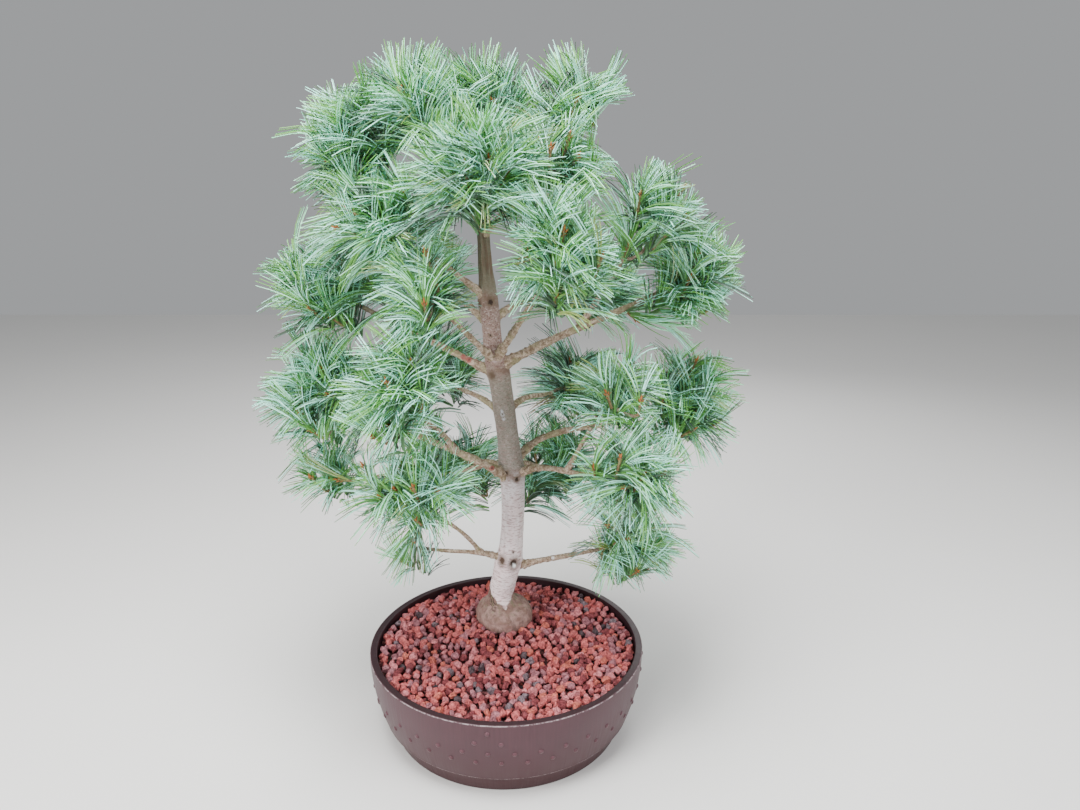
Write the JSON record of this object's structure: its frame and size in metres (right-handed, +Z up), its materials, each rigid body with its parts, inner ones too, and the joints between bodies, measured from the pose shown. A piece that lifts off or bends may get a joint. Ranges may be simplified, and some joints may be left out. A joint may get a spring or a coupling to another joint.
{
  "type": "japanese white pine bonsai",
  "caption": "Japanese white pine bonsai with an upright tapering trunk, whorled boughs and separate masses of needles, in a round studded pot filled with red lava grit.",
  "frame": {"origin": "middle of the pot's flat underside", "axes": "+Z up along the trunk, -Y towards the side the tree is shown from, +X to the right of it"},
  "size_m": [0.5738, 0.431, 0.8283],
  "materials": {
    "pot": "dark brown moulded plastic, satin, with a worn rim",
    "soil": "red lava grit, rough",
    "bark": "smooth grey bark with short level scars",
    "needles": "blue-green needles, green outside and bluish white inside"
  },
  "bodies": {
    "root": {"pot": "pot", "soil": "soil", "trunk": "bark", "bough_low_left": "bark", "bough_low_right": "bark", "bough_left_tip_mid": "bark", "bough_left_front_mid": "bark", "bough_left_front_low": "bark", "bough_left_tip_low": "bark", "bough_right_front_low": "bark", "bough_right_front_mid": "bark", "bough_right_tip_mid": "bark", "bough_back_low_left": "bark", "bough_back_low_right": "bark", "bough_back_mid_left": "bark", "bough_back_mid_right": "bark", "bough_left_tip_high": "bark", "bough_left_front_high": "bark", "bough_right_front_high": "bark", "bough_right_tip_high": "bark", "bough_right_mid_high": "bark", "bough_back_high_left": "bark", "bough_back_high_right": "bark", "bough_left_mid_high": "bark", "bough_left_shoulder": "bark", "bough_top_left": "bark", "bough_top_front": "bark", "bough_top_right": "bark", "bough_right_neck": "bark", "bough_back_top": "bark", "needles_low_left": "needles", "needles_low_right": "needles", "needles_left_tip_mid": "needles", "needles_left_front_mid": "needles", "needles_left_front_low": "needles", "needles_left_tip_low": "needles", "needles_right_front_low": "needles", "needles_right_front_mid": "needles", "needles_right_tip_mid": "needles", "needles_back_low_left": "needles", "needles_back_low_right": "needles", "needles_back_mid_left": "needles", "needles_back_mid_right": "needles", "needles_left_tip_high": "needles", "needles_left_front_high": "needles", "needles_right_front_high": "needles", "needles_right_tip_high": "needles", "needles_right_mid_high": "needles", "needles_back_high_left": "needles", "needles_back_high_right": "needles", "needles_left_mid_high": "needles", "needles_left_shoulder": "needles", "needles_top_left": "needles", "needles_top_front": "needles", "needles_top_right": "needles", "needles_right_neck": "needles", "needles_back_top": "needles", "needles_top_middle": "needles"}
  },
  "joints": []
}
